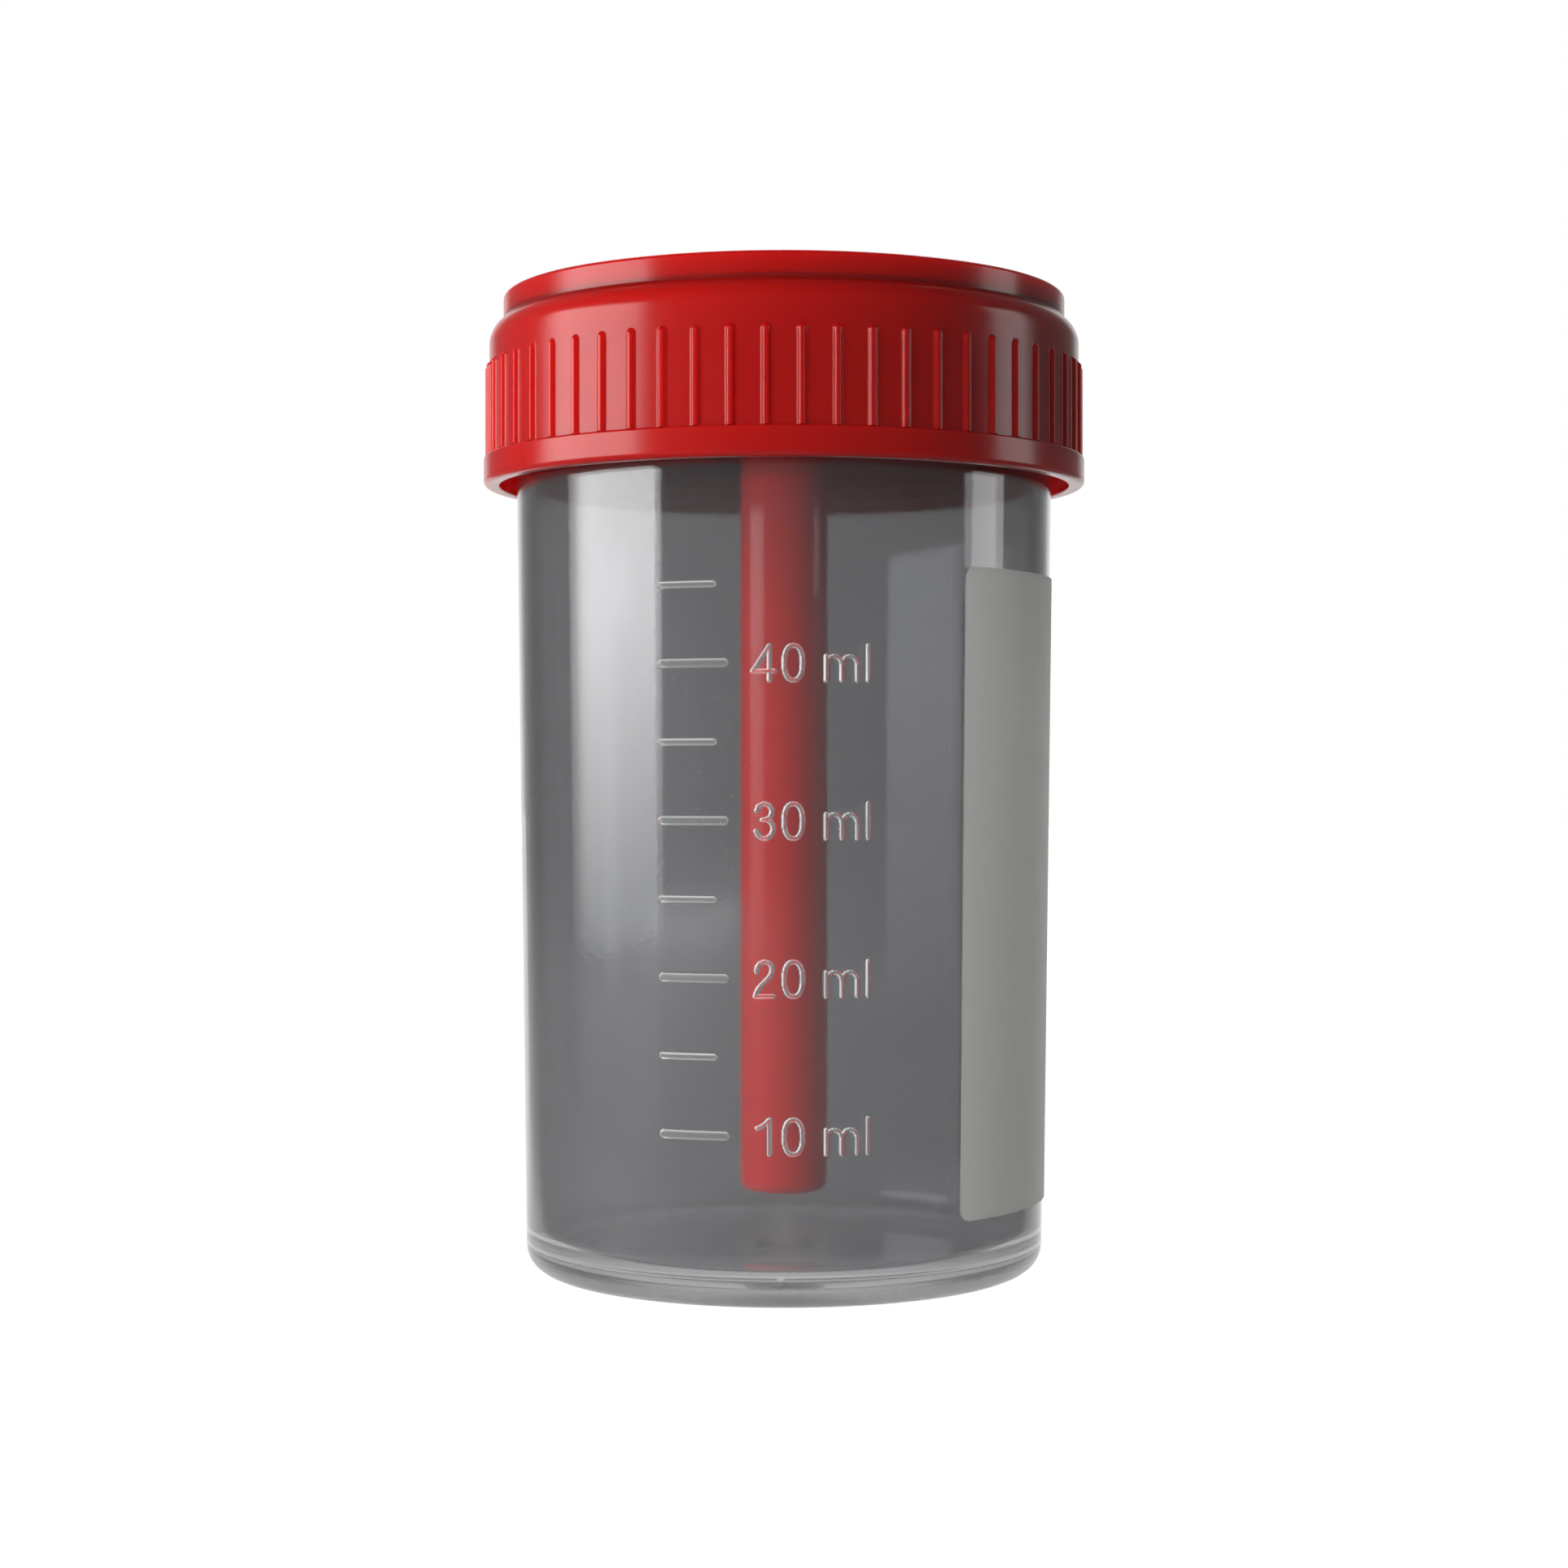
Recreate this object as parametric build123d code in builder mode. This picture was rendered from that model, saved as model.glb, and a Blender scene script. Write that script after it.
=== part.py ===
"""Specimen container: a 60 ml screw-top plastic pot with a sampling stick held in its cap.

Frame: millimetres, +Z up, origin at the centre of the foot. The graduations face -Y and the
label lies towards +X. The cap is shown screwed home on the neck.
"""
from build123d import *
from math import pi, radians, sin, sqrt, tan
import os

# ---- pot: wall, floor and foot ----
pot_top_radius = 19.05      # outer wall at the shoulder
wall_draft = 0.71           # degrees of taper that let the pot leave its mould
shoulder_height = 56.4      # top of the tapered wall
wall = 1.2
floor_thickness = 1.6
foot_radius = 2.0           # rounding between the wall and the underside
inner_corner_radius = 2.0   # rounding between the wall and the floor inside
foot_ring_width = 2.0       # flat ring that the pot stands on
underside_recess = 0.4      # depth of the underside inside that ring
gate_radius = 1.65          # round moulding gate in the middle of the floor
gate_rise = 0.5             # the floor steps up by this over the gate

# ---- neck and its thread ----
neck_height = 11.25         # from the shoulder to the rim
neck_step = 0.35            # from the tapered wall in to the neck
shoulder_chamfer = 0.25     # at the top of the tapered wall
rim_chamfer = 0.3
thread_lead = 8.0           # rise in one turn
thread_starts = 2
thread_turns = 0.8          # length of each start
thread_fade = 24.0          # degrees over which each end of a ridge rises to its full height
ridge_end_rise = 0.05       # share of the full height left at the very end of a ridge
thread_section_angle = 12.0
thread_flank_slope = 0.75   # axial run of a flank for each millimetre of its height
thread_sink = 0.3           # how far a ridge's root runs into the wall it grows from
neck_ridge_height = 0.8
neck_ridge_crest = 0.9      # axial width at its top
neck_thread_margin = 1.2    # from the shoulder to the foot of the lowest ridge

# ---- graduation marks, one moulding with the wall ----
mark_spacing = 10.3         # height of ten millilitres
first_mark_height = 11.5    # the ten millilitre mark
mark_count = 8              # every five millilitres from ten to forty-five
mark_left_azimuth = -26.2   # degrees round from -Y towards +X
long_mark_azimuth = -11.0   # right end of the tens
short_mark_azimuth = -13.4  # right end of the fives
long_mark_width = 0.63
short_mark_width = 0.46
mark_relief = 0.15

# ---- label ----
label_bottom = 5.3
label_top = 49.0
label_left_azimuth = 39.5
label_span = 91.0           # degrees round the pot
label_corner_radius = 0.8
label_thickness = 0.12
label_glue_gap = 0.02

# ---- cap: top and skirt ----
cap_clearance = 0.05        # between the rim of the pot and the underside of the cap
cap_top_thickness = 1.4
disc_height = 1.8           # raised disc on top
disc_inset = 1.0            # from the skirt in to the disc
disc_edge_chamfer = 0.25
cap_shoulder_radius = 2.0
skirt_wall = 1.15
skirt_drop = 0.8            # how far the skirt reaches down past the shoulder of the pot
flange_height = 2.0         # plain band round the bottom of the skirt
flange_relief = 0.4
flange_wall = 1.1
flange_edge_chamfer = 0.35

# ---- cap: grip ribs ----
rib_count = 57
rib_width = 0.7             # where a rib leaves the skirt
rib_crest_width = 0.4
rib_relief = 0.28
rib_sink = 0.1              # how far a rib's ends run into the cap they grow from
rib_top_gap = 1.3           # plain skirt between the ribs and the rounded shoulder
rib_end_slope = 0.55        # height over which the top of a rib falls back to the skirt

# ---- cap: thread, plug seal and stick socket ----
neck_crest_clearance = 0.35 # from the crest of a neck ridge to the skirt
cap_ridge_clearance = 0.25  # from the crest of a cap ridge to the neck
cap_ridge_crest = 0.8
cap_thread_margin = 0.4     # from the flange to the foot of the lowest ridge
flank_clearance = 0.15      # play between the bearing flanks of pot and cap
plug_clearance = 0.1        # between the plug seal ring and the bore of the neck
plug_wall = 0.9
plug_height = 2.6
plug_lead_in = 0.4
socket_wall = 1.5
socket_depth = 6.0
socket_edge_chamfer = 0.4

# ---- sampling stick ----
stick_radius = 3.15
stick_floor_gap = 3.9       # from the floor of the pot to the end of the stick
stick_end_radius = 0.8
spigot_radius = 2.2
spigot_clearance = 0.05     # between the spigot and its socket, at the sides
spigot_end_gap = 0.3
stick_seat_gap = 0.05       # between the step of the stick and the end of the socket
spigot_tip_chamfer = 0.3
bead_position = 3.0         # from the end of the socket up to the snap bead round the spigot
bead_relief = 0.15
bead_slope = 0.35           # height over which each side of the bead rises

# ---- worked out from the sizes above: pot ----
pot_base_radius = pot_top_radius - shoulder_height * tan(radians(wall_draft))
foot_ring_radius = pot_base_radius - foot_radius - foot_ring_width
floor_radius = pot_base_radius + floor_thickness * tan(radians(wall_draft)) - wall
bore_radius = pot_top_radius - wall
neck_radius = pot_top_radius - neck_step
rim_height = shoulder_height + neck_height
neck_crest_radius = neck_radius + neck_ridge_height
neck_ridge_root = neck_ridge_crest + 2 * thread_flank_slope * neck_ridge_height
neck_thread_start = shoulder_height + neck_thread_margin + neck_ridge_root / 2

# ---- worked out: cap ----
cap_underside = rim_height + cap_clearance
cap_top = cap_underside + cap_top_thickness
skirt_bore = neck_crest_radius + neck_crest_clearance
skirt_radius = skirt_bore + skirt_wall
skirt_bottom = shoulder_height - skirt_drop
flange_radius = skirt_radius + flange_relief
flange_bore = flange_radius - flange_wall
flange_top = skirt_bottom + flange_height
disc_radius = skirt_radius - disc_inset
cap_shoulder_top = cap_top - disc_height
cap_shoulder_drop = sqrt(cap_shoulder_radius**2 - (cap_shoulder_radius - disc_inset) ** 2)
rib_foot_radius = sqrt(skirt_radius**2 - rib_width**2 / 4)
rib_top = cap_shoulder_top - cap_shoulder_drop - rib_top_gap
cap_crest_radius = neck_radius + cap_ridge_clearance
cap_ridge_root = cap_ridge_crest + 2 * thread_flank_slope * (skirt_bore - cap_crest_radius)
cap_thread_start = flange_top + cap_thread_margin + cap_ridge_root / 2
flank_overlap = thread_flank_slope * (neck_crest_radius - cap_crest_radius)
thread_offset = (neck_ridge_crest + cap_ridge_crest) / 2 + flank_overlap + flank_clearance
cap_thread_angle = 360 / thread_lead * (cap_thread_start - neck_thread_start + thread_offset)
plug_radius = bore_radius - plug_clearance

# ---- worked out: socket and stick ----
socket_radius = spigot_radius + spigot_clearance
stick_seat = cap_underside - socket_depth
bead_height = stick_seat + bead_position
stick_shoulder = stick_seat - stick_seat_gap
stick_bottom = floor_thickness + stick_floor_gap


def pot_radius(height):
    """Outer radius of the tapered wall at a height."""
    return pot_base_radius + height * tan(radians(wall_draft))


def radial_plane(azimuth, radius=0.0, height=0.0):
    """Plane that faces outwards at an azimuth from -Y, its X along the girth and its Y upwards."""
    outwards = Vector(0, -1, 0).rotate(Axis.Z, azimuth)
    along_girth = Vector(1, 0, 0).rotate(Axis.Z, azimuth)
    return Plane(outwards * radius + Vector(0, 0, height), x_dir=along_girth, z_dir=outwards)


def corner(sketch, x, y):
    """The corner of a sketch nearest to a point."""
    return sketch.vertices().sort_by_distance((x, y))[0]


def helical_ridge(wall_radius, crest_radius, root_width, crest_width, start_height, start_angle):
    """One start of a thread, lofted through sections in planes of the axis, its ends fading out."""
    sunk_radius = wall_radius - thread_sink if crest_radius > wall_radius else wall_radius + thread_sink
    full_angle = 360 * thread_turns
    section_count = round(full_angle / thread_section_angle)
    with BuildPart() as ridge:
        for section in range(section_count + 1):
            along = full_angle * section / section_count
            from_end = min(along, full_angle - along)
            rise = ridge_end_rise + (1 - ridge_end_rise) * sin(pi / 2 * min(1, from_end / thread_fade))
            crest = wall_radius + rise * (crest_radius - wall_radius)
            half_root = root_width / 2
            half_crest = half_root - rise * (root_width - crest_width) / 2
            outwards = Vector(1, 0, 0).rotate(Axis.Z, start_angle + along)
            girth = Vector(0, -1, 0).rotate(Axis.Z, start_angle + along)
            centre = Vector(0, 0, start_height + thread_lead * along / 360)
            with BuildSketch(Plane(centre, x_dir=outwards, z_dir=girth)):
                with BuildLine():
                    Polyline(
                        (sunk_radius, -half_root),
                        (wall_radius, -half_root),
                        (crest, -half_crest),
                        (crest, half_crest),
                        (wall_radius, half_root),
                        (sunk_radius, half_root),
                        close=True,
                    )
                make_face()
        loft()
    return ridge.part


# Threads: the same starts on the neck and inside the cap, on one helix. The cap's ridges lie just
# under the neck's, so that their flanks bear when the cap is home.
start_angles = [360 / thread_starts * start for start in range(thread_starts)]
neck_ridges = [
    helical_ridge(
        neck_radius, neck_crest_radius, neck_ridge_root, neck_ridge_crest, neck_thread_start, angle
    )
    for angle in start_angles
]
cap_ridges = [
    helical_ridge(
        skirt_bore,
        cap_crest_radius,
        cap_ridge_root,
        cap_ridge_crest,
        cap_thread_start,
        cap_thread_angle + angle,
    )
    for angle in start_angles
]

# Graduation marks: rounded bars that follow the tapered wall.
with BuildPart() as marks:
    for index in range(mark_count):
        mark_height = first_mark_height + index * mark_spacing / 2
        is_ten = index % 2 == 0
        mark_right = long_mark_azimuth if is_ten else short_mark_azimuth
        mark_width = long_mark_width if is_ten else short_mark_width
        mark_middle = (mark_left_azimuth + mark_right) / 2
        mark_length = 2 * pot_radius(mark_height) * sin(radians(mark_right - mark_left_azimuth) / 2)
        with BuildSketch(radial_plane(mark_middle, pot_radius(mark_height) - wall, mark_height)):
            SlotOverall(mark_length, mark_width)
        extrude(amount=2 * wall)
    with BuildSketch(Plane.XZ):
        with BuildLine():
            Polyline(
                (0, 0),
                (pot_base_radius + mark_relief, 0),
                (pot_top_radius + mark_relief, shoulder_height),
                (0, shoulder_height),
                close=True,
            )
        make_face()
    revolve(axis=Axis.Z, mode=Mode.INTERSECT)

# Grip rib: a bar of tapered section along the skirt, whose top end falls back into the wall.
with BuildPart() as rib:
    with BuildSketch(Plane.XY.offset(flange_top - rib_sink)):
        with BuildLine():
            Polyline(
                (skirt_radius - skirt_wall / 2, -rib_width / 2),
                (rib_foot_radius, -rib_width / 2),
                (skirt_radius + rib_relief, -rib_crest_width / 2),
                (skirt_radius + rib_relief, rib_crest_width / 2),
                (rib_foot_radius, rib_width / 2),
                (skirt_radius - skirt_wall / 2, rib_width / 2),
                close=True,
            )
        make_face()
    extrude(amount=rib_top - flange_top + rib_sink)
    chamfer(rib.edges().group_by(Axis.Z)[-1].sort_by(Axis.X)[-1], rib_end_slope, rib_relief + rib_sink)

# Container body: wall, floor, shoulder and neck in one turned section, then thread and marks.
with BuildPart() as container_body:
    with BuildSketch(Plane.XZ) as pot_section:
        with BuildLine():
            Polyline(
                (0, underside_recess + gate_rise),
                (gate_radius, underside_recess + gate_rise),
                (gate_radius + gate_rise, underside_recess),
                (foot_ring_radius - underside_recess, underside_recess),
                (foot_ring_radius, 0),
                (pot_base_radius, 0),
                (pot_top_radius, shoulder_height),
                (neck_radius, shoulder_height),
                (neck_radius, rim_height),
                (bore_radius, rim_height),
                (bore_radius, shoulder_height),
                (floor_radius, floor_thickness),
                (gate_radius + gate_rise, floor_thickness),
                (gate_radius, floor_thickness + gate_rise),
                (0, floor_thickness + gate_rise),
                close=True,
            )
        make_face()
        fillet(corner(pot_section, pot_base_radius, 0), foot_radius)
        fillet(corner(pot_section, floor_radius, floor_thickness), inner_corner_radius)
        chamfer(corner(pot_section, pot_top_radius, shoulder_height), shoulder_chamfer)
        chamfer(pot_section.vertices().group_by(Axis.Y)[-1], rim_chamfer)
    revolve(axis=Axis.Z)
    for ridge in neck_ridges:
        add(ridge)
    add(marks.part)
container_body.part.label = "container_body"

# Label: a sector of thin film that follows the taper, its corners rounded.
with BuildPart() as label:
    with BuildSketch(Plane.XZ):
        with BuildLine():
            Polyline(
                (pot_radius(label_bottom) + label_glue_gap, label_bottom),
                (pot_radius(label_bottom) + label_glue_gap + label_thickness, label_bottom),
                (pot_radius(label_top) + label_glue_gap + label_thickness, label_top),
                (pot_radius(label_top) + label_glue_gap, label_top),
                close=True,
            )
        make_face()
    revolve(axis=Axis.Z)
    label_height = label_top - label_bottom
    label_chord = 2 * pot_top_radius * sin(radians(label_span) / 2)
    with BuildSketch(radial_plane(label_left_azimuth + label_span / 2, 0, label_bottom + label_height / 2)):
        RectangleRounded(label_chord, label_height, label_corner_radius)
    extrude(amount=pot_top_radius + wall, mode=Mode.INTERSECT)
label.part.label = "label"

# Screw cap: one turned section for the top, skirt, flange, plug seal and socket.
with BuildPart() as screw_cap:
    with BuildSketch(Plane.XZ) as cap_section:
        with BuildLine():
            Polyline(
                (0, cap_underside),
                (0, cap_top),
                (disc_radius, cap_top),
                (disc_radius, cap_shoulder_top),
            )
            RadiusArc(
                (disc_radius, cap_shoulder_top),
                (skirt_radius, cap_shoulder_top - cap_shoulder_drop),
                cap_shoulder_radius,
            )
            Polyline(
                (skirt_radius, cap_shoulder_top - cap_shoulder_drop),
                (skirt_radius, flange_top),
                (flange_radius, flange_top),
                (flange_radius, skirt_bottom),
                (flange_bore, skirt_bottom),
                (flange_bore, flange_top + skirt_bore - flange_bore),
                (skirt_bore, flange_top),
                (skirt_bore, cap_underside),
                (plug_radius, cap_underside),
                (plug_radius, cap_underside - plug_height + plug_lead_in),
                (plug_radius - plug_lead_in, cap_underside - plug_height),
                (plug_radius - plug_wall, cap_underside - plug_height),
                (plug_radius - plug_wall, cap_underside),
                (socket_radius + socket_wall, cap_underside),
                (socket_radius + socket_wall, stick_seat),
                (socket_radius, stick_seat),
                (socket_radius, bead_height - bead_slope),
                (socket_radius + bead_relief, bead_height),
                (socket_radius, bead_height + bead_slope),
                (socket_radius, cap_underside),
                (0, cap_underside),
            )
        make_face()
        chamfer(corner(cap_section, disc_radius, cap_top), disc_edge_chamfer)
        chamfer(corner(cap_section, flange_radius, skirt_bottom), flange_edge_chamfer)
        chamfer(corner(cap_section, socket_radius + socket_wall, stick_seat), socket_edge_chamfer)
    revolve(axis=Axis.Z)
    for ridge in cap_ridges:
        add(ridge)
    with PolarLocations(0, rib_count, start_angle=-90 + 180 / rib_count):
        add(rib.part)
screw_cap.part.label = "screw_cap"

# Sampling stick: round rod with a rounded end and a stepped spigot that snaps into the cap's socket.
with BuildPart() as sampling_stick:
    with BuildSketch(Plane.XZ) as stick_section:
        with BuildLine():
            Polyline(
                (0, stick_bottom),
                (stick_radius, stick_bottom),
                (stick_radius, stick_shoulder),
                (spigot_radius, stick_shoulder),
                (spigot_radius, bead_height - bead_slope),
                (spigot_radius + bead_relief, bead_height),
                (spigot_radius, bead_height + bead_slope),
                (spigot_radius, cap_underside - spigot_end_gap - spigot_tip_chamfer),
                (spigot_radius - spigot_tip_chamfer, cap_underside - spigot_end_gap),
                (0, cap_underside - spigot_end_gap),
                close=True,
            )
        make_face()
        fillet(corner(stick_section, stick_radius, stick_bottom), stick_end_radius)
    revolve(axis=Axis.Z)
sampling_stick.part.label = "sampling_stick"

os.makedirs("parts", exist_ok=True)
export_step(container_body.part, "parts/container_body.step")
export_step(label.part, "parts/label.step")
export_step(screw_cap.part, "parts/screw_cap.step")
export_step(sampling_stick.part, "parts/sampling_stick.step")
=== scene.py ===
import bpy
import numpy as np
from math import atan2, ceil, cos, pi, radians, sin, sqrt, tan
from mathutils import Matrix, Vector


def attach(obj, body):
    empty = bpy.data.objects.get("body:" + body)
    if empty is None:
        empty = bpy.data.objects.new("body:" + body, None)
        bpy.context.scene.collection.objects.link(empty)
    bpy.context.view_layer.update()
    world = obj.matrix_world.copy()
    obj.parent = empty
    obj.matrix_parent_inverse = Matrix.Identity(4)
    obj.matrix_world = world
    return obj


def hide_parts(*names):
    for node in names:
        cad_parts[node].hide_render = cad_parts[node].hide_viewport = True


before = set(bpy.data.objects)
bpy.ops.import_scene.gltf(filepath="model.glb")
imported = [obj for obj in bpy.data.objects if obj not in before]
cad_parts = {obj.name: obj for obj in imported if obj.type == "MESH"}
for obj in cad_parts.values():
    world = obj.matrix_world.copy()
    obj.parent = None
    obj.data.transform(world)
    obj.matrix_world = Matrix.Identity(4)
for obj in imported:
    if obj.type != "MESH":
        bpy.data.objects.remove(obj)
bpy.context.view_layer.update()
scene = bpy.context.scene

# ---- Container body ----
# One injection moulding in natural polypropylene: a tapered wall, a floor on a foot ring, and a neck
# that carries the thread. The graduations and their figures stand proud of the wall, cut in the mould.

# Sizes in millimetres, as in the solids, and angles in degrees.
base_radius = 18.351
top_radius = 19.05
shoulder_height = 56.4
rim_height = 67.65
wall = 1.2
neck_radius = 18.7
bore_radius = top_radius - wall
floor_top = 1.6
floor_radius = 17.171       # of the bore, where the wall would meet the floor
corner_fillet = 2.0         # between wall and floor, inside and outside
foot_ring_radius = 14.35    # inner edge of the ring that the pot stands on
recess_radius = 13.95
underside = 0.4             # height of the floor's underside inside the foot ring
gate_radius = 1.65          # moulding gate in the middle of the floor
gate_foot_radius = 2.15
gate_underside = 0.9
gate_rise = 0.5
thread_lead = 8.0
thread_turn = 288.0         # degrees that each of the two starts runs
thread_fade = 24.0          # degrees over which its ends rise
neck_thread_start = 58.65
neck_thread_root, neck_thread_crest, neck_thread_height = 2.1, 0.9, 0.8
relief_height = 0.15        # of the graduations and their figures
mark_heights = [11.5 + 5.15 * index for index in range(8)]
mark_left, long_mark_right, short_mark_right = -26.2, -11.0, -13.4
long_mark_half, short_mark_half, figure_half = 0.315, 0.23, 0.19
figure_middle = 1.345       # from the foot of a figure up to its mark
figure_flank, mark_flank = 0.15, 0.13
crest_frost_and_highlight = 0.45          # how much a crest counts as a flank, which is 1: frost and a painted highlight on the crest


def wall_radius(height):
    """Outer radius of the tapered wall, in millimetres."""
    return base_radius + (top_radius - base_radius) * height / shoulder_height


def rounded(points, steps=6):
    """A turned profile: (radius, height, fillet) corners become (radius, height, normal, normal)."""
    profile = []
    for index, (r, z, fillet) in enumerate(points):
        here = Vector((r, z))
        before = here - Vector(points[max(index - 1, 0)][:2])
        after = Vector(points[min(index + 1, len(points) - 1)][:2]) - here
        before = (before if before.length > 0 else after).normalized()
        after = (after if after.length > 0 else before).normalized()
        if not fillet:
            along = (before + after).normalized()
            profile.append((r, z, along.y, -along.x))
            continue
        half = (-before).angle(after) / 2
        centre = here + (after - before).normalized() * fillet / sin(half)
        first = here - before * fillet / tan(half) - centre
        last = here + after * fillet / tan(half) - centre
        begin = atan2(first.y, first.x)
        turn = (atan2(last.y, last.x) - begin + pi) % (2 * pi) - pi
        side = 1 if turn > 0 else -1
        for step in range(steps + 1):
            a = begin + turn * step / steps
            c, s = cos(a), sin(a)
            profile.append((centre.x + fillet * c, centre.y + fillet * s, side * c, side * s))
    return profile


def spaced(start, end, longest):
    """Plain profile points between two corners, no further apart than longest."""
    count = ceil(max(abs(end[0] - start[0]), abs(end[1] - start[1])) / longest)
    ts = [k / count for k in range(1, count)]
    return [(start[0] + (end[0] - start[0]) * t, start[1] + (end[1] - start[1]) * t, 0) for t in ts]


def make_mesh(name, places, faces, normals):
    """A smooth piece from places in millimetres, with its own vertex normals."""
    mesh = bpy.data.meshes.new(name)
    mesh.from_pydata([tuple(p) for p in places * 0.001], [], faces)
    mesh.update()
    mesh.polygons.foreach_set("use_smooth", [True] * len(mesh.polygons))
    mesh.normals_split_custom_set_from_vertices([tuple(n) for n in normals])
    piece = bpy.data.objects.new(name, mesh)
    scene.collection.objects.link(piece)
    return piece


def turned(name, profile, angles, relief=None, ku=1, kv=1, fine_u=None, fine_v=None):
    """A closed turned piece. Its grid has ku x kv finer steps in the cells that fine_u and fine_v mark.

    Its point attribute flank says how steep the relief is, and is a little over 0 on a low crest.
    """
    columns, rows = len(angles) // ku, len(profile) - 1
    fine_u = np.zeros((columns, rows), bool) if fine_u is None else fine_u
    fine_v = np.zeros((columns, rows), bool) if fine_v is None else fine_v
    steps = np.arange(rows * kv + 1) / kv
    track = np.array([np.interp(steps, np.arange(rows + 1), c) for c in np.array(profile).T])
    number = {}

    def key(u, v):
        return (0 if track[0, v] < 1e-6 else u % (columns * ku), v)

    cells = []
    for i in range(columns):
        for j in range(rows):
            us = range(i * ku, (i + 1) * ku + 1, 1 if fine_u[i, j] else ku)
            vs = range(j * kv, (j + 1) * kv + 1, 1 if fine_v[i, j] else kv)
            cells += [(u0, v0, u1, v1) for u0, u1 in zip(us, us[1:]) for v0, v1 in zip(vs, vs[1:])]
            for u in us:
                for v in vs:
                    number.setdefault(key(u, v), len(number))
    faces = []
    for u0, v0, u1, v1 in cells:
        ring = [(u, v0) for u in range(u0, u1)] + [(u1, v) for v in range(v0, v1)]
        ring += [(u, v1) for u in range(u1, u0, -1)] + [(u0, v) for v in range(v1, v0, -1)]
        found = [number[key(u, v)] for u, v in ring if key(u, v) in number]
        face = [n for k, n in enumerate(found) if n != found[k - 1]]
        if len(face) > 2:
            faces.append(face)
    us, vs = np.array(list(number)).T
    phi = np.radians(np.asarray(angles)[us])
    r, z, normal_r, normal_z = track[:, vs]
    length = np.hypot(normal_r, normal_z)
    normal_r, normal_z = normal_r / length, normal_z / length
    out, along = np.array([np.cos(phi), np.sin(phi)]), np.array([-np.sin(phi), np.cos(phi)])
    rise, slope_u, slope_v = np.zeros(len(r)), np.zeros(len(r)), np.zeros(len(r))
    if relief is not None:
        off = 0.02              # millimetres to either side, over which a slope is taken
        rise = relief(phi, r, z)
        near = np.maximum(r, 1)
        slope_u = (relief(phi + off / near, r, z) - relief(phi - off / near, r, z)) / (2 * off)
        slope_v = (relief(phi, r, z + off) - relief(phi, r, z - off)) / (2 * off)
    flat = out * normal_r - along * (normal_r * slope_u)
    normals = np.array([flat[0], flat[1], normal_z - normal_r * slope_v]).T
    normals /= np.linalg.norm(normals, axis=1)[:, None]
    places = np.array([out[0] * (r + rise), out[1] * (r + rise), z]).T
    piece = make_mesh(name, places, faces, normals)
    # Low crests carry part of the flank value, which the wall's shader paints lighter: partly frost,
    # partly painted highlight.
    crest = np.where(rise <= relief_height + 0.001, crest_frost_and_highlight * rise / relief_height, 0)
    flank = piece.data.attributes.new("flank", "FLOAT", "POINT")
    flank.data.foreach_set("value", np.clip(np.hypot(slope_u, slope_v), crest, 1.0))
    return piece


def smooth(t):
    """0 to 1 with soft ends."""
    t = np.clip(t, 0, 1)
    return t * t * (3 - 2 * t)


def thread(phi, z, start_height, start_angle, root, crest, height):
    """Height of a two-start ridge over its wall, its flanks straight and its ends fading out."""
    total = np.zeros(len(z))
    for start in (0, 180):
        for turn in (0, 360):
            along = (np.degrees(phi) - start_angle - start) % 360 + turn
            end = np.minimum(along, thread_turn - along)
            full = height * np.sin(pi / 2 * np.clip(end / thread_fade, 0, 1))
            off = np.abs(z - start_height - thread_lead * along / 360)
            total = np.maximum(total, full * smooth((root / 2 - off) / (root - crest) * 2))
    return total


# The figures, as the lines that the mould's cutter followed: millimetres along the girth from the
# front of the pot, and up from the foot of the figure.
squared = 0.85              # makes the nought a little squarer than an ellipse
oval = [
    (
        0.6 + 0.6 * np.sign(cos(a)) * abs(cos(a)) ** squared,
        1.33 + 1.13 * np.sign(sin(a)) * abs(sin(a)) ** squared,
    )
    for a in np.linspace(0, 2 * pi, 33)
]
arch = [(0, 1.2), (0.08, 1.48), (0.27, 1.70), (0.52, 1.77), (0.79, 1.70), (0.97, 1.48), (1.03, 1.2)]
arch += [(1.03, 0.21)]
unit_lines = [
    oval,
    [(2.76, 0.21), (2.76, 1.77)],
    [(2.76 + x, y) for x, y in arch],
    [(3.80 + x, y) for x, y in arch],
    [(5.56, 0.21), (5.56, 2.47)],
]
tens_lines = {
    1: [[(-1.74, 1.90), (-1.45, 2.03), (-1.15, 2.25), (-0.96, 2.46), (-0.96, 0.21)]],
    2: [
        [(-1.80, 1.82), (-1.76, 2.10), (-1.58, 2.36), (-1.27, 2.47), (-0.97, 2.38), (-0.79, 2.14)]
        + [(-0.78, 1.86), (-0.90, 1.56), (-1.17, 1.24), (-1.52, 0.90), (-1.76, 0.57), (-1.88, 0.21)]
        + [(-0.72, 0.21)]
    ],
    3: [
        [(-1.80, 2.00), (-1.66, 2.32), (-1.33, 2.47), (-0.98, 2.35), (-0.80, 2.06), (-0.82, 1.76)]
        + [(-0.97, 1.53), (-1.22, 1.43), (-1.42, 1.41)],
        [(-1.22, 1.43), (-0.92, 1.31), (-0.74, 1.05), (-0.71, 0.74), (-0.84, 0.42), (-1.10, 0.23)]
        + [(-1.40, 0.19), (-1.68, 0.36), (-1.84, 0.68)],
    ],
    4: [[(-0.96, 0.21), (-0.96, 2.44), (-2.04, 0.79), (-0.66, 0.79)]],
}
strokes = []                # x0, y0, x1, y1 in millimetres of girth and height, and half the width
for tens, height in zip((1, 2, 3, 4), mark_heights[::2]):
    for line in unit_lines + tens_lines[tens]:
        for (x0, y0), (x1, y1) in zip(line, line[1:]):
            strokes.append((x0, height - figure_middle + y0, x1, height - figure_middle + y1, figure_half))
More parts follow.
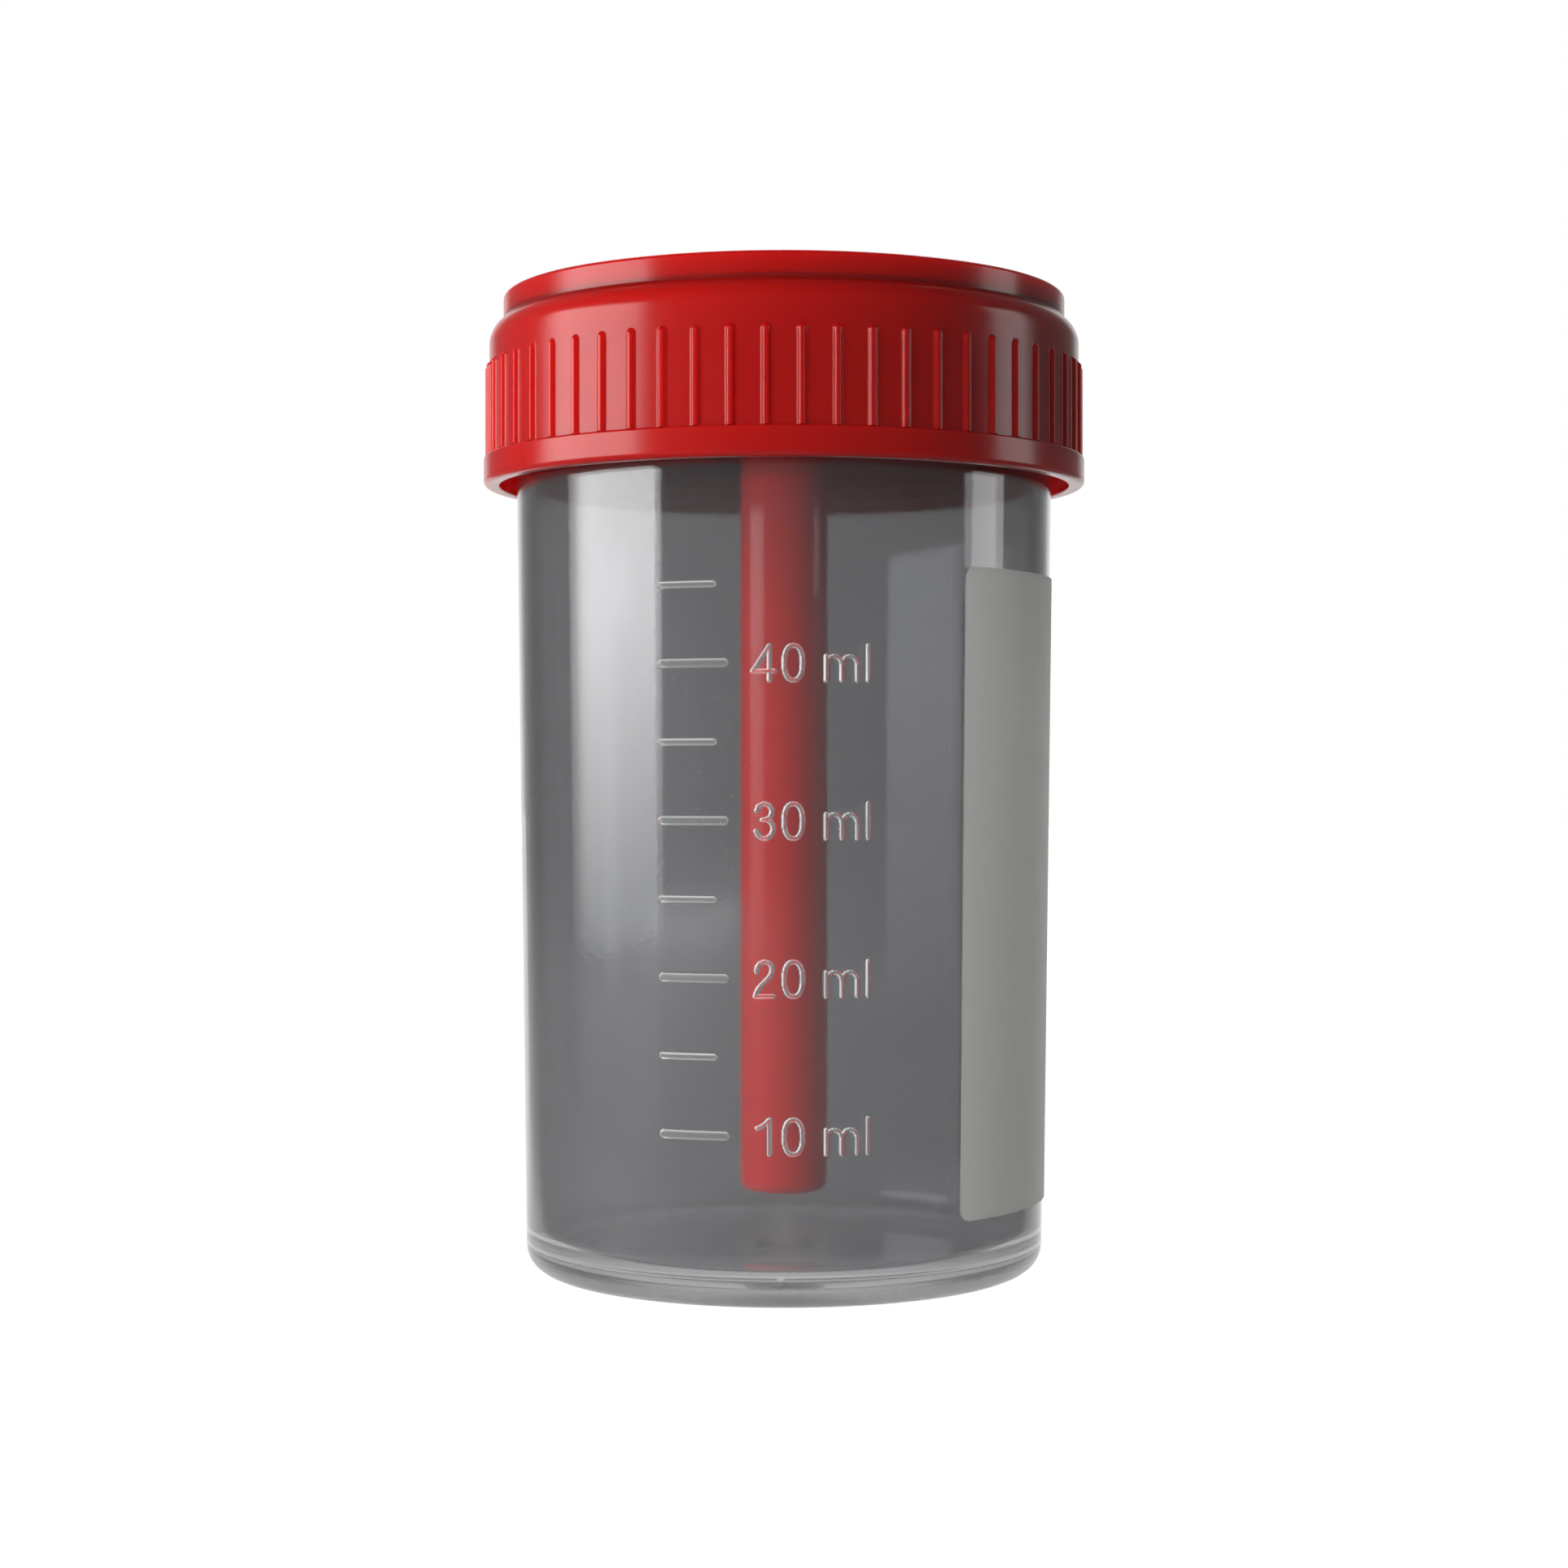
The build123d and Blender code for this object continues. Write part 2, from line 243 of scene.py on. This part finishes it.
for index, height in enumerate(mark_heights):
    half = short_mark_half if index % 2 else long_mark_half
    left, right = radians(mark_left), radians(short_mark_right if index % 2 else long_mark_right)
    girth = wall_radius(height)
    strokes.append((left * girth + half, height, right * girth - half, height, half))


def pot_relief(phi, r, z, spread=0.0):
    """Graduations and figures on the wall, and the thread on the neck."""
    rise = np.zeros(len(z))
    wound = (phi + pi / 2 + pi) % (2 * pi) - pi
    girth = wound * wall_radius(z)
    marked = (z > 9) & (z < 49) & (girth > -9.5) & (girth < 6.5)
    front = np.nonzero((r > wall_radius(z) - 0.3) & marked)[0]
    if len(front):
        x, y = girth[front], z[front]
        best = np.zeros(len(front))
        for x0, y0, x1, y1, half in strokes:
            near = np.nonzero((y > min(y0, y1) - 0.8) & (y < max(y0, y1) + 0.8))[0]
            dx, dy = x1 - x0, y1 - y0
            t = np.clip(((x[near] - x0) * dx + (y[near] - y0) * dy) / (dx * dx + dy * dy), 0, 1)
            off = np.hypot(x[near] - x0 - t * dx, y[near] - y0 - t * dy)
            edge = smooth((half + spread - off) / (figure_flank if y0 != y1 else mark_flank))
            best[near] = np.maximum(best[near], edge)
        rise[front] = relief_height * best
    neck = np.nonzero((r > neck_radius - 0.2) & (z > shoulder_height + 0.3) & (z < rim_height - 0.2))[0]
    if len(neck):
        shape = neck_thread_root, neck_thread_crest, neck_thread_height
        rise[neck] = thread(phi[neck], z[neck], neck_thread_start, 0, *shape)
    return rise


wall_rows = [4.0, 6.5, 9.0]
for index, height in enumerate(mark_heights):
    count, reach = (2, 0.55) if index % 2 else (6, 1.62)
    wall_rows += [height - reach + 2 * reach * k / count for k in range(count + 1)]
wall_rows += [49.5, 51.5, 53.5, 55.2, 56.0]
neck_rows = np.arange(57.1, 66.6, 0.13)
pot_profile = rounded(
    [(0, gate_underside, 0), (gate_radius, gate_underside, 0.2), (gate_foot_radius, underside, 0.2)]
    + spaced((gate_foot_radius, underside), (recess_radius, underside), 2.0)
    + [(recess_radius, underside, 0.3), (foot_ring_radius, 0, 0.12), (15.6, 0, 0)]
    + [(base_radius, 0, corner_fillet)]
    + [(wall_radius(z), z, 0) for z in wall_rows]
    + [(top_radius, shoulder_height, 0.25), (neck_radius, shoulder_height, 0.08)]
    + [(neck_radius, z, 0) for z in neck_rows]
    + [(neck_radius, rim_height, 0.3), (bore_radius, rim_height, 0.3)]
    + spaced((bore_radius, rim_height - 0.5), (bore_radius, shoulder_height), 2.0)
    + [(bore_radius, shoulder_height, 0)]
    + spaced((bore_radius, shoulder_height), (floor_radius + 0.03, 4.0), 2.0)
    + [(floor_radius, floor_top, corner_fillet)]
    + spaced((15.1, floor_top), (gate_foot_radius, floor_top), 2.0)
    + [(gate_foot_radius, floor_top, 0.2), (gate_radius, floor_top + gate_rise, 0.2)]
    + [(0, floor_top + gate_rise, 0)]
)
pot_columns, fine_steps = 216, 8    # columns round the pot, and steps in a cell that carries a figure
pot_angles = np.arange(pot_columns * fine_steps) * 360 / (pot_columns * fine_steps) - 90
corner_z = np.array([p[1] for p in pot_profile])
corner_r = np.array([p[0] for p in pot_profile])
detailed = np.zeros((pot_columns, len(pot_profile) - 1), bool)
for j in range(len(pot_profile) - 1):
    if corner_r[j] < wall_radius(corner_z[j]) - 0.3 or not 9 < corner_z[j] < 49:
        continue
    for i in [k % pot_columns for k in range(-17, 12)]:
        columns = pot_angles[i * fine_steps] + np.linspace(0, 360 / pot_columns, fine_steps + 1)
        us = np.radians(np.repeat(columns, fine_steps + 1))
        zs = np.tile(np.linspace(corner_z[j], corner_z[j + 1], fine_steps + 1), fine_steps + 1)
        detailed[i, j] = pot_relief(us, wall_radius(zs), zs, spread=0.06).max() > 0
pot = turned("pot_looks", pot_profile, pot_angles, pot_relief, fine_steps, fine_steps, detailed, detailed)


def material(name):
    """A new material with a Principled shader. Returns it, its node tree and that shader."""
    made = bpy.data.materials.new(name)
    made.use_nodes = True
    tree = made.node_tree
    return made, tree, tree.nodes["Principled BSDF"]


def add_node(tree, kind, values=(), **settings):
    """A node with some sockets set and its settings given."""
    node = tree.nodes.new("ShaderNode" + kind)
    for name, value in settings.items():
        setattr(node, name, value)
    for name, value in dict(values).items():
        node.inputs[name].default_value = value
    return node


def grain(tree, scale, detail=2.0, stretch=(1, 1, 1)):
    """Noise in the object's own coordinates, with features about 1/scale metres across."""
    place = add_node(tree, "TexCoord")
    mapped = add_node(tree, "Mapping", {"Scale": stretch})
    noise = add_node(tree, "TexNoise", {"Scale": scale, "Detail": detail, "Roughness": 0.55})
    tree.links.new(place.outputs["Object"], mapped.inputs["Vector"])
    tree.links.new(mapped.outputs["Vector"], noise.inputs["Vector"])
    return noise.outputs["Fac"]


def ramp(tree, source, start, end, low, high, **settings):
    """A value that goes from low to high while its source goes from start to end."""
    ends = {"From Min": start, "From Max": end, "To Min": low, "To Max": high}
    ranged = add_node(tree, "MapRange", ends, **settings)
    tree.links.new(source, ranged.inputs["Value"])
    return ranged.outputs["Result"]


def vary(tree, source, socket, low, high):
    """Maps noise to a range and drives a socket with it."""
    tree.links.new(ramp(tree, source, 0.3, 0.7, low, high), socket)


def reckon(tree, operation, *terms, **settings):
    """A Math node's result, from values of other nodes and plain numbers."""
    node = add_node(tree, "Math", operation=operation, **settings)
    for socket, term in zip(node.inputs, terms):
        if isinstance(term, float):
            socket.default_value = term
        else:
            tree.links.new(term, socket)
    return node.outputs["Value"]


def bump(tree, source, socket, strength, distance, under=None):
    """Bump from noise into a normal socket, over another bump if one is given."""
    node = add_node(tree, "Bump", {"Strength": strength, "Distance": distance})
    tree.links.new(source, node.inputs["Height"])
    if under is not None:
        tree.links.new(under, node.inputs["Normal"])
    tree.links.new(node.outputs["Normal"], socket)
    return node.outputs["Normal"]


def lets_lamps_through(tree, shader, colour):
    """Clear plastic that lamps shine through, so that what stands in the pot is lit."""
    path = add_node(tree, "LightPath")
    clear = add_node(tree, "BsdfTransparent", {"Color": colour})
    mix = add_node(tree, "MixShader")
    tree.links.new(path.outputs["Is Shadow Ray"], mix.inputs["Fac"])
    tree.links.new(shader.outputs["BSDF"], mix.inputs[1])
    tree.links.new(clear.outputs["BSDF"], mix.inputs[2])
    tree.links.new(mix.outputs["Shader"], tree.nodes["Material Output"].inputs["Surface"])


# The wall is smoky where it is smooth. On the flanks of the figures, marks and threads it is frosted and
# painted lighter, partly frost and partly a painted highlight of their edges.
# Its inside is the glossier face, and the ring that it stands on is scuffed.
clear_plastic, tree, shader = material("clear_plastic")
shader.inputs["IOR"].default_value = 1.49
shader.inputs["Specular IOR Level"].default_value = 0.25
shader.inputs["Coat IOR"].default_value = 1.9
shader.inputs["Coat Roughness"].default_value = 0.05
inside = add_node(tree, "Attribute", attribute_name="inside").outputs["Fac"]
flank = add_node(tree, "Attribute", attribute_name="flank").outputs["Fac"]
above_table = add_node(tree, "SeparateXYZ")
# The lighter, less clear colour on flanks and low crests is partly frost and partly a painted highlight
# where the edges would catch light.
smoke_and_edge_highlight = add_node(tree, "MixRGB", {"Color1": (0.355, 0.358, 0.366, 1), "Color2": (0.80, 0.79, 0.79, 1)})
gloss = ramp(tree, grain(tree, 320, 3), 0.3, 0.7, 0.05, 0.09)
tree.links.new(inside, shader.inputs["Coat Weight"])
tree.links.new(ramp(tree, flank, 0.3, 1.0, 0.0, 1.0), smoke_and_edge_highlight.inputs["Fac"])
tree.links.new(smoke_and_edge_highlight.outputs["Color"], shader.inputs["Base Color"])
tree.links.new(ramp(tree, flank, 0.3, 1.0, 0.97, 0.70), shader.inputs["Transmission Weight"])
tree.links.new(add_node(tree, "TexCoord").outputs["Object"], above_table.inputs["Vector"])
scuffed = ramp(tree, above_table.outputs["Z"], 0.0018, 0.0010, 0.0, 0.28)
tree.links.new(reckon(tree, "ADD", gloss, scuffed), shader.inputs["Roughness"])
flow = bump(tree, grain(tree, 500, 2, (1, 1, 0.06)), shader.inputs["Normal"], 0.10, 0.00004)
bump(tree, grain(tree, 2600, 1), shader.inputs["Normal"], 0.12, 0.00002, flow)
lets_lamps_through(tree, shader, (0.97, 0.97, 0.97, 1))
pot.data.materials.append(clear_plastic)
spots = np.empty(len(pot.data.vertices) * 3)
pot.data.vertices.foreach_get("co", spots)
x, y, z = spots.reshape(-1, 3).T * 1000
within = (z > 1.5) & (np.hypot(x, y) < wall_radius(z) - 0.9)
pot.data.attributes.new("inside", "FLOAT", "POINT").data.foreach_set("value", within.astype(float))
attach(pot, "container")
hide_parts("container_body")

# ---- Label ----
# A write-on film label with rounded corners, matt and unprinted, stuck round the right-hand side of
# the pot and following its taper.
label_left, label_span = 39.5, 91.0
label_bottom, label_top = 5.3, 49.0
label_corner, label_gap, label_thickness = 0.8, 0.02, 0.12
corner_steps = [label_corner * (1 - cos(a)) for a in np.linspace(0, pi / 2, 7)]
label_rows = sorted(
    [label_bottom + s for s in corner_steps]
    + list(np.linspace(label_bottom + 1.6, label_top - 1.6, 24))
    + [label_top - s for s in corner_steps]
)
places, normals, faces = [], [], []
label_columns = 97
for side in (1, 0):
    for z in label_rows:
        over = max(0.0, label_corner - min(z - label_bottom, label_top - z))
        inset = label_corner - sqrt(max(0.0, label_corner**2 - over**2))
        r = wall_radius(z) + label_gap + label_thickness * side
        trim = inset / r * 180 / pi
        ends = label_left + trim, label_left + label_span - trim
        for phi in np.radians(np.linspace(*ends, label_columns) - 90):
            places.append((r * cos(phi), r * sin(phi), z))
            normals.append((cos(phi) * (2 * side - 1), sin(phi) * (2 * side - 1), 0))
inner = len(label_rows) * label_columns
for j in range(len(label_rows) - 1):
    for i in range(label_columns - 1):
        a = j * label_columns + i
        b, c, d = a + 1, a + 1 + label_columns, a + label_columns
        faces += [(a, b, c, d), (inner + d, inner + c, inner + b, inner + a)]
rim = [(j * label_columns, (j + 1) * label_columns) for j in range(len(label_rows) - 1)]
rim += [(b + label_columns - 1, a + label_columns - 1) for a, b in rim]
last = (len(label_rows) - 1) * label_columns
rim += [(i + 1, i) for i in range(label_columns - 1)]
rim += [(last + i, last + i + 1) for i in range(label_columns - 1)]
faces += [(a, b, inner + b, inner + a) for a, b in rim]
film = make_mesh("label_looks", np.array(places), faces, normals)

label_film, tree, shader = material("label_film")
shader.inputs["Base Color"].default_value = (0.62, 0.615, 0.597, 1)
shader.inputs["IOR"].default_value = 1.49
shader.inputs["Transmission Weight"].default_value = 0.35
vary(tree, grain(tree, 700, 3), shader.inputs["Roughness"], 0.5, 0.62)
bump(tree, grain(tree, 3500, 2), shader.inputs["Normal"], 0.2, 0.00003)
lets_lamps_through(tree, shader, (0.85, 0.85, 0.85, 1))
film.data.materials.append(label_film)
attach(film, "container")
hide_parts("label")

# ---- Sampling stick ----
# A solid round rod moulded in red plastic, its free end rounded. A stepped spigot on its other end
# snaps into the socket under the cap, which holds it.
stick_radius, spigot_radius = 3.15, 2.2
stick_end, stick_shoulder, spigot_tip = 5.5, 61.65, 67.4
bead_low, bead_height, bead_high, bead_radius = 64.35, 64.7, 65.05, 2.35
stick_profile = rounded(
    [(0, stick_end, 0), (1.2, stick_end, 0), (stick_radius, stick_end, 0.8)]
    + spaced((stick_radius, 6.6), (stick_radius, 61.4), 3.0)
    + [(stick_radius, stick_shoulder, 0.15), (spigot_radius, stick_shoulder, 0.1)]
    + [(spigot_radius, bead_low, 0.25), (bead_radius, bead_height, 0.2)]
    + [(spigot_radius, bead_high, 0.25)]
    + [(spigot_radius, 67.1, 0.1), (1.9, spigot_tip, 0.1), (0.8, spigot_tip, 0), (0, spigot_tip, 0)]
)
stick = turned("sampling_stick_looks", stick_profile, np.arange(96) * 3.75 - 90)

stick_red, tree, shader = material("red_plastic_stick")
shader.inputs["Base Color"].default_value = (0.82, 0.022, 0.018, 1)
shader.inputs["Specular IOR Level"].default_value = 0.9
shader.inputs["Coat Weight"].default_value = 1.0
shader.inputs["Coat IOR"].default_value = 1.8
shader.inputs["Coat Roughness"].default_value = 0.1
shader.inputs["IOR"].default_value = 1.49
vary(tree, grain(tree, 380, 3), shader.inputs["Roughness"], 0.14, 0.20)
flow = bump(tree, grain(tree, 700, 2, (1, 1, 0.05)), shader.inputs["Normal"], 0.06, 0.00003)
bump(tree, grain(tree, 4200, 2), shader.inputs["Normal"], 0.15, 0.00002, flow)
stick.data.materials.append(stick_red)
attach(stick, "stick")
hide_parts("sampling_stick")

# ---- Screw cap ----
# One injection moulding in red polypropylene: a raised disc on top, a ribbed skirt over a plain
# flange, and inside it the thread, a ring that plugs the bore and a socket for the stick.
skirt_radius, skirt_bore = 21.0, 19.85
flange_radius, flange_bore = 21.4, 20.3
skirt_bottom, flange_top, rib_top = 55.6, 57.6, 64.2
cap_underside, disc_foot, cap_top = 67.7, 67.3, 69.1
disc_radius = 20.0
shoulder_radius, shoulder_height_centre = 2.0, 65.568
plug_radius, plug_bore, plug_end = 17.75, 16.85, 65.1
socket_radius, socket_outside, socket_end = 2.25, 3.75, 61.7
groove_radius = 2.4         # round the stick's bead
cap_thread_start, cap_thread_angle = 59.075, 82.69
cap_thread_root, cap_thread_crest, cap_thread_height = 2.15, 0.8, 0.9
rib_count = 57
rib_pitch = 360 / rib_count
rib_height, rib_half, rib_flank, rib_rounding = 0.28, 0.38, 0.3, 0.34


def cap_relief(phi, r, z):
    """Grip ribs on the skirt and the thread in its bore."""
    rise = np.zeros(len(z))
    out = np.nonzero((np.abs(r - skirt_radius) < 0.12) & (z > flange_top - 0.1) & (z < rib_top + 0.3))[0]
    if len(out):
        turn = (np.degrees(phi[out]) + 90) % rib_pitch - rib_pitch / 2
        across = np.radians(turn) * skirt_radius
        above = np.maximum(z[out] - (rib_top - rib_rounding), 0)
        rise[out] = rib_height * smooth((rib_half - np.hypot(across, above)) / rib_flank)
    bore = np.nonzero((np.abs(r - skirt_bore) < 0.06) & (z > flange_top + 0.1) & (z < 67.2))[0]
    if len(bore):
        shape = cap_thread_root, cap_thread_crest, cap_thread_height
        rise[bore] = -thread(phi[bore], z[bore], cap_thread_start, cap_thread_angle, *shape)
    return rise


rib_rows = [57.85, 58.5, 60.0, 61.5, 62.8, 63.4, 63.65, 63.8, 63.9, 64.0, 64.08, 64.15, 64.25, 64.4]
shoulder_arc = [
    (19 + shoulder_radius * cos(a), shoulder_height_centre + shoulder_radius * sin(a), 0)
    for a in np.radians(np.linspace(0, 50, 9))
]
cap_profile = rounded(
    [(0, cap_underside, 0), (1.2, cap_underside, 0), (socket_radius, cap_underside, 0.1)]
    + [(socket_radius, bead_high, 0.25), (groove_radius, bead_height, 0.2)]
    + [(socket_radius, bead_low, 0.25)]
    + [(socket_radius, socket_end, 0.15), (socket_outside, socket_end, 0.4)]
    + [(socket_outside, 64.5, 0), (socket_outside, cap_underside, 0.35)]
    + spaced((4.2, cap_underside), (16.4, cap_underside), 2.0)
    + [(plug_bore, cap_underside, 0.3), (plug_bore, plug_end, 0.2), (17.35, plug_end, 0.1)]
    + [(plug_radius, 65.5, 0.2), (plug_radius, cap_underside, 0.2)]
    + [(18.8, cap_underside, 0), (skirt_bore, cap_underside, 0.3)]
    + [(skirt_bore, z, 0) for z in np.arange(67.1, 57.75, -0.16)]
    + [(skirt_bore, flange_top, 0.1), (flange_bore, 57.15, 0.1)]
    + [(flange_bore, skirt_bottom, 0.12), (flange_radius, skirt_bottom, 0.4)]
    + [(flange_radius, flange_top, 0.15), (skirt_radius, flange_top, 0.08)]
    + [(skirt_radius, z, 0) for z in rib_rows]
    + [(skirt_radius, 65.1, 0)]
    + shoulder_arc
    + [(disc_radius, disc_foot, 0.25), (disc_radius, cap_top, 0.3), (19.2, cap_top, 0)]
    + spaced((19.2, cap_top), (0.9, cap_top), 2.0)
    + [(0.9, cap_top, 0), (0, cap_top, 0)]
)
rib_columns = np.array(     # millimetres along the girth: one between ribs, the rest across a rib
    [-1.1725, -0.42, -0.35, -0.28, -0.21, -0.14, -0.07, 0, 0.07, 0.14, 0.21, 0.28, 0.35, 0.42]
)
cap_angles = np.concatenate(
    [rib_pitch * (k + 0.5) + np.degrees(rib_columns / skirt_radius) - 90 for k in range(rib_count)]
)
ribbed = np.zeros((2 * rib_count, len(cap_profile) - 1), bool)
for j, (here, after) in enumerate(zip(cap_profile, cap_profile[1:])):
    ribbed[:, j] = here[0] > 20.99 and after[0] < 21.2 and after[1] < rib_top + 0.3
cap = turned("screw_cap_looks", cap_profile, cap_angles, cap_relief, 7, 1, ribbed)

cap_red, tree, shader = material("red_plastic")
shader.inputs["Base Color"].default_value = (0.25, 0.0033, 0.0026, 1)
shader.inputs["IOR"].default_value = 1.49
shader.inputs["Specular IOR Level"].default_value = 0.35
shader.inputs["Subsurface Weight"].default_value = 0.8
shader.inputs["Subsurface Radius"].default_value = (1.0, 0.05, 0.04)
shader.inputs["Subsurface Scale"].default_value = 0.008
vary(tree, grain(tree, 260, 4), shader.inputs["Roughness"], 0.18, 0.23)
wave = bump(tree, grain(tree, 240, 2), shader.inputs["Normal"], 0.05, 0.00004)
bump(tree, grain(tree, 3800, 2), shader.inputs["Normal"], 0.12, 0.00001, wave)
cap.data.materials.append(cap_red)
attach(cap, "cap")
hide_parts("screw_cap")

# ---- Floor and backdrop ----
# A plain pale table top, and a pale sheet that stands round it in a ring. Both look white, and the
# table keeps the shadow of the pot.


def plain_sheet(name, corners):
    """A flat or bent sheet of quads from rows of corners, in metres."""
    mesh = bpy.data.meshes.new(name)
    width = len(corners[0])
    quads = [
        (j * width + i, j * width + i + 1, (j + 1) * width + i + 1, (j + 1) * width + i)
        for j in range(len(corners) - 1)
        for i in range(width - 1)
    ]
    mesh.from_pydata([p for row in corners for p in row], [], quads)
    mesh.polygons.foreach_set("use_smooth", [True] * len(quads))
    made = bpy.data.objects.new(name, mesh)
    scene.collection.objects.link(made)
    return made


table_edge, ring_radius, ring_height = 3, 2.2, 2.5       # metres
edges = -table_edge, table_edge
floor = plain_sheet("table_top", [[(x, y, 0) for x in edges] for y in edges])
arc = np.radians(np.linspace(-180, 180, 73))
backdrop = plain_sheet(
    "backdrop", [[(ring_radius * sin(a), ring_radius * cos(a), z) for a in arc] for z in (0, ring_height)]
)


def seen_white(name, rough, pale, shine, near, far, start, end, rest):
    """White to the camera. Gloss and clear plastic find it white behind the pot, and dim elsewhere.

    The white goes from near to far with the distance from the pot. From start to end, measured
    backwards from the pot less twice the way to the side, it dims to rest.
    """
    made, tree, shader = material(name)
    shader.inputs["Base Color"].default_value = (pale, pale, pale, 1)
    shader.inputs["Roughness"].default_value = rough
    shader.inputs["Specular IOR Level"].default_value = shine
    path = add_node(tree, "LightPath").outputs
    place = add_node(tree, "TexCoord").outputs["Object"]
    away = add_node(tree, "VectorMath", operation="LENGTH")
    apart = add_node(tree, "SeparateXYZ")
    tree.links.new(place, away.inputs[0])
    tree.links.new(place, apart.inputs["Vector"])
    side = reckon(tree, "ABSOLUTE", apart.outputs["X"])
    behind = reckon(tree, "MULTIPLY_ADD", side, -2.0, apart.outputs["Y"])
    level = ramp(tree, away.outputs["Value"], 0.1, 0.5, near, far)
    fade = ramp(tree, behind, start, end, 1, rest, interpolation_type="SMOOTHSTEP")
    shown = reckon(tree, "MULTIPLY", level, reckon(tree, "MAXIMUM", fade, path["Is Camera Ray"]))
    mirrored = reckon(tree, "ADD", path["Is Glossy Ray"], path["Is Transmission Ray"])
    seen = reckon(tree, "ADD", path["Is Camera Ray"], mirrored, use_clamp=True)
    glow = add_node(tree, "Emission")
    total = add_node(tree, "AddShader")
    tree.links.new(reckon(tree, "MULTIPLY", shown, seen), glow.inputs["Strength"])
    tree.links.new(shader.outputs["BSDF"], total.inputs[0])
    tree.links.new(glow.outputs["Emission"], total.inputs[1])
    tree.links.new(total.outputs["Shader"], tree.nodes["Material Output"].inputs["Surface"])
    return made


table_white = seen_white(
    "table_white", rough=0.6, pale=0.15, shine=0.1, near=0.87, far=0.98, start=-0.02, end=-0.07, rest=0.15
)
backdrop_white = seen_white(
    "backdrop_white", rough=0.9, pale=0.0, shine=0.0, near=1.0, far=1.0, start=0.7, end=-0.5, rest=0.18
)
floor.data.materials.append(table_white)
backdrop.data.materials.append(backdrop_white)

# ---- Light and camera ----
# A large softbox on the left, a weaker one on the right and one above and behind. Two in front fill in
# what is not glossy or clear, under plain even light from all round.


def softbox(name, start, end, low, high, radiance, fades=()):
    """A rectangle of light between two points of the ground plan, facing the pot.

    Two fades may each give an axis of the lamp, X from end to start or Y from low to high, the share
    of its length over which the light grows, and the share of the full light that it starts from.
    """
    a, b = Vector((*start, 0)), Vector((*end, 0))
    width, height = (b - a).length, high - low
    lamp = bpy.data.lights.new(name, "AREA")
    lamp.shape = "RECTANGLE"
    lamp.size, lamp.size_y = width, height
    lamp.energy = radiance * pi * width * height
    if fades:
        lamp.use_nodes = True
        tree = lamp.node_tree
        apart = add_node(tree, "SeparateXYZ")
        tree.links.new(add_node(tree, "NewGeometry").outputs["Parametric"], apart.inputs["Vector"])
        shares = [ramp(tree, apart.outputs[axis], 0, share, least, 1) for axis, share, least in fades]
        tree.links.new(reckon(tree, "MULTIPLY", *shares), tree.nodes["Emission"].inputs["Strength"])
    made = bpy.data.objects.new(name, lamp)
    made.location = (a + b) / 2 + Vector((0, 0, (low + high) / 2))
    target = Vector((0, 0, made.location.z))
    made.rotation_euler = (target - made.location).to_track_quat("-Z", "Y").to_euler()
    scene.collection.objects.link(made)
    return made


def plan(azimuth, distance):
    """A point of the ground plan, its azimuth in degrees from the front towards +X."""
    return sin(radians(azimuth)) * distance, -cos(radians(azimuth)) * distance


left_fades = ("X", 0.2, 0.3), ("Y", 0.3, 0.2)
softbox("softbox_left", (-0.280, -0.204), (-0.343, 0.065), 0.0, 0.20, 6.0, left_fades)
softbox("softbox_right", plan(84, 0.35), plan(104, 0.35), 0.0, 0.22, 2.6)
above = softbox("softbox_above", (-0.25, 0.35), (0.25, 0.35), 0.40, 0.70, 4.0)
front = softbox("softbox_front", plan(-62, 0.42), plan(-20, 0.42), 0.0, 0.40, 5.5)
low_front = softbox("softbox_low", plan(-60, 0.42), plan(-20, 0.42), 0.0, 0.05, 32.0)
for lamp in (front, low_front):
    lamp.visible_glossy = False
    lamp.visible_transmission = False
pot_middle = Vector((0, 0, 0.04))
for lamp in (above, front):
    lamp.rotation_euler = (pot_middle - lamp.location).to_track_quat("-Z", "Y").to_euler()

world = bpy.data.worlds.new("studio")
world.use_nodes = True
even_light = world.node_tree.nodes["Background"]
even_light.inputs["Color"].default_value = (0.08, 0.08, 0.082, 1)
even_light.inputs["Strength"].default_value = 1.0
scene.world = world

camera_data = bpy.data.cameras.new("camera")
camera_data.sensor_width = 36
camera_data.lens = 65.53
camera_data.clip_start = 0.01
camera = bpy.data.objects.new("camera", camera_data)
camera.location = (0, -0.2045, 0.0345)
camera.rotation_euler = (radians(90), 0, 0)
scene.collection.objects.link(camera)
scene.camera = camera
scene.view_settings.view_transform = "Standard"
